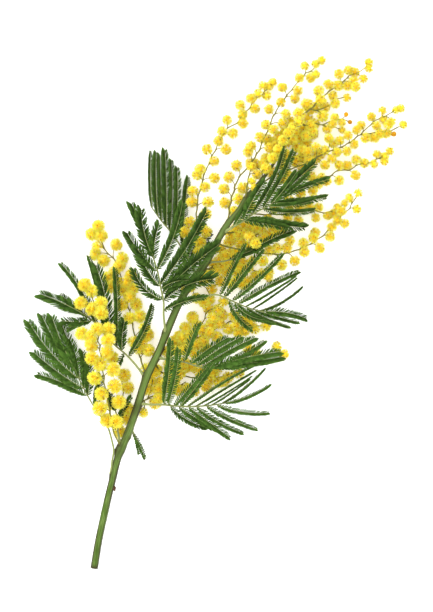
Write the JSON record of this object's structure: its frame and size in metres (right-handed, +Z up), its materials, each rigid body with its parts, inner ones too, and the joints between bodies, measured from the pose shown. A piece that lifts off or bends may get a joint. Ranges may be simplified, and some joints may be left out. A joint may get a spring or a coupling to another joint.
{
  "type": "mimosa sprig",
  "caption": "Cut mimosa sprig lying flat: a bowed green stem with feathery side leaves and drooping sprays of small round yellow flower heads.",
  "frame": {"origin": "middle of the sprig's footprint, on the surface that it lies on", "axes": "+Z up from the surface, +Y from the cut end towards the crown, +X to the right seen from above"},
  "size_m": [0.2305, 0.3093, 0.0312],
  "materials": {
    "stem": "smooth young green bark with darker edges, satin",
    "bud": "dry brown scales, matt",
    "leaf": "dark green feathery leaflets, matt",
    "blossom": "fluffy yellow stamens, matt"
  },
  "bodies": {
    "root": {"main_stem": "stem", "stem_bud": "bud", "leaf_top_left": "leaf", "leaf_front": "leaf", "leaf_top_right": "leaf", "leaf_mid_right": "leaf", "leaf_low_right": "leaf", "leaf_bottom_right": "leaf", "leaf_bottom_left": "leaf", "leaf_far_left": "leaf", "leaf_small": "leaf", "leaf_hidden_mid": "leaf", "leaf_hidden_low": "leaf", "spray_top_left": "blossom", "spray_top_centre": "blossom", "spray_crown": "blossom", "spray_crown_side": "blossom", "spray_right_upper": "blossom", "spray_right": "blossom", "spray_right_inner": "blossom", "spray_right_lower": "blossom", "spray_young": "blossom", "spray_inner_top": "blossom", "spray_inner_crown": "blossom", "spray_inner_mid": "blossom", "spray_inner_low": "blossom", "spray_under_stem": "blossom", "spray_mid_right": "blossom", "spray_low_inner": "blossom", "spray_low_right": "blossom", "spray_left_back": "blossom", "spray_left_front": "blossom", "spray_left_low": "blossom"}
  },
  "joints": []
}
